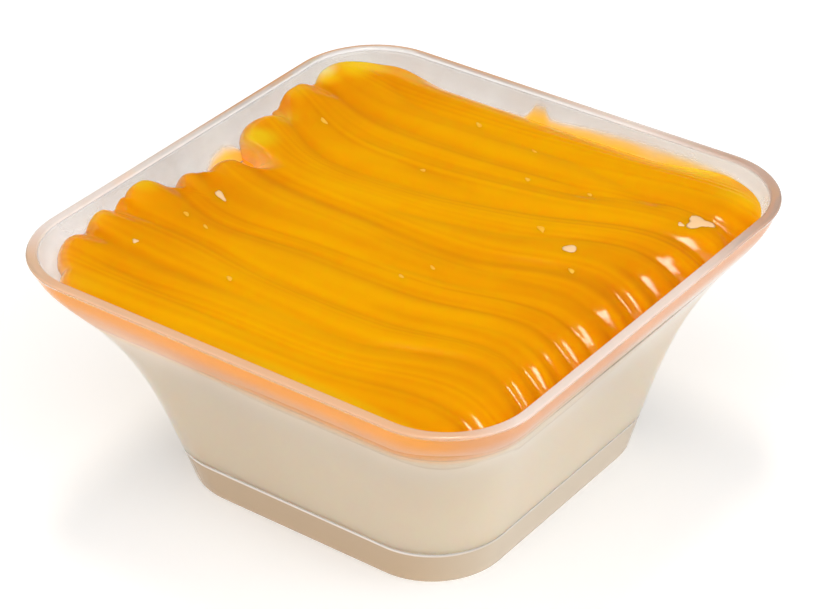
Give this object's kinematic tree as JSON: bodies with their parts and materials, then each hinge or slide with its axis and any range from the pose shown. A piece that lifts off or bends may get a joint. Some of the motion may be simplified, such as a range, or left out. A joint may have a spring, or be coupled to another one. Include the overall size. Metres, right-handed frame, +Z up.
{
  "type": "milk pudding in clear plastic cup",
  "caption": "Set milk pudding in a square flared clear cup with a hollow foot, topped to near the rim with amber mango jam piped in soft ropes.",
  "frame": {"origin": "centre of the foot's bottom face, on the surface that the cup stands on", "axes": "+Z up; the cup's four sides face +X, -X, +Y and -Y, and the ropes of jam run along X from rounded ends at -X"},
  "size_m": [0.0918, 0.0918, 0.0434],
  "materials": {
    "clear_plastic": "clear, glossy, thin walled",
    "milk_pudding": "smooth set cream, slightly translucent",
    "mango_jam": "wet, glossy, translucent amber"
  },
  "bodies": {
    "root": {"cup": "clear_plastic", "milk_pudding": "milk_pudding", "mango_jam": "mango_jam"}
  },
  "joints": []
}
